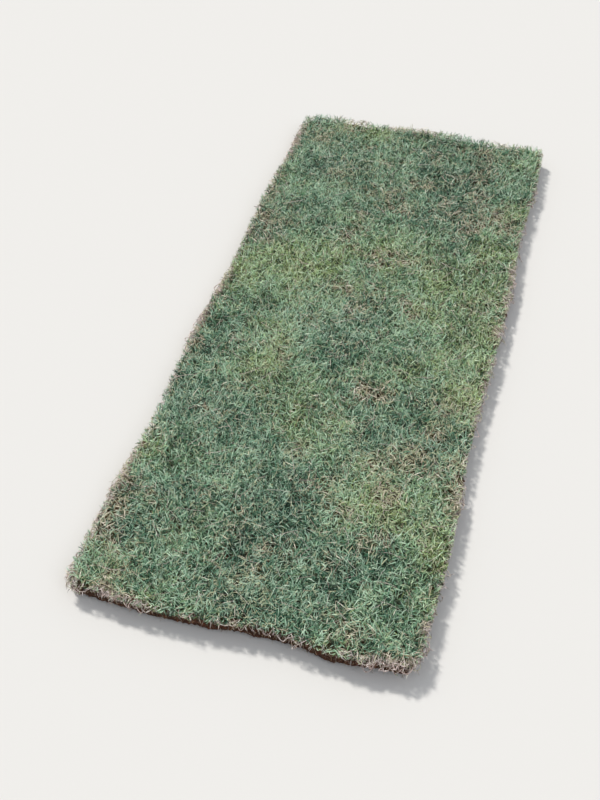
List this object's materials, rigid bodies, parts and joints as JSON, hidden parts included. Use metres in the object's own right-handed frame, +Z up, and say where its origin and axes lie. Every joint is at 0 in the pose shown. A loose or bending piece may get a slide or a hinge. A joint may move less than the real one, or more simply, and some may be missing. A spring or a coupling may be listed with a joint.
{
  "type": "turf strip",
  "caption": "Strip of mown lawn turf lying flat: fine green grass over a thin mat of roots and red-brown soil, with ragged cut edges and slightly lifted ends.",
  "frame": {"origin": "on the floor under the middle of the strip", "axes": "+Y along the strip's length from the near end to the far end, +X across its width, +Z up from the soil to the leaf tips"},
  "size_m": [0.636, 1.554, 0.0546],
  "materials": {
    "rooted_soil": "matte",
    "grass": "matte"
  },
  "bodies": {
    "root": {"root_mat": "rooted_soil", "grass_sward": "grass"}
  },
  "joints": []
}
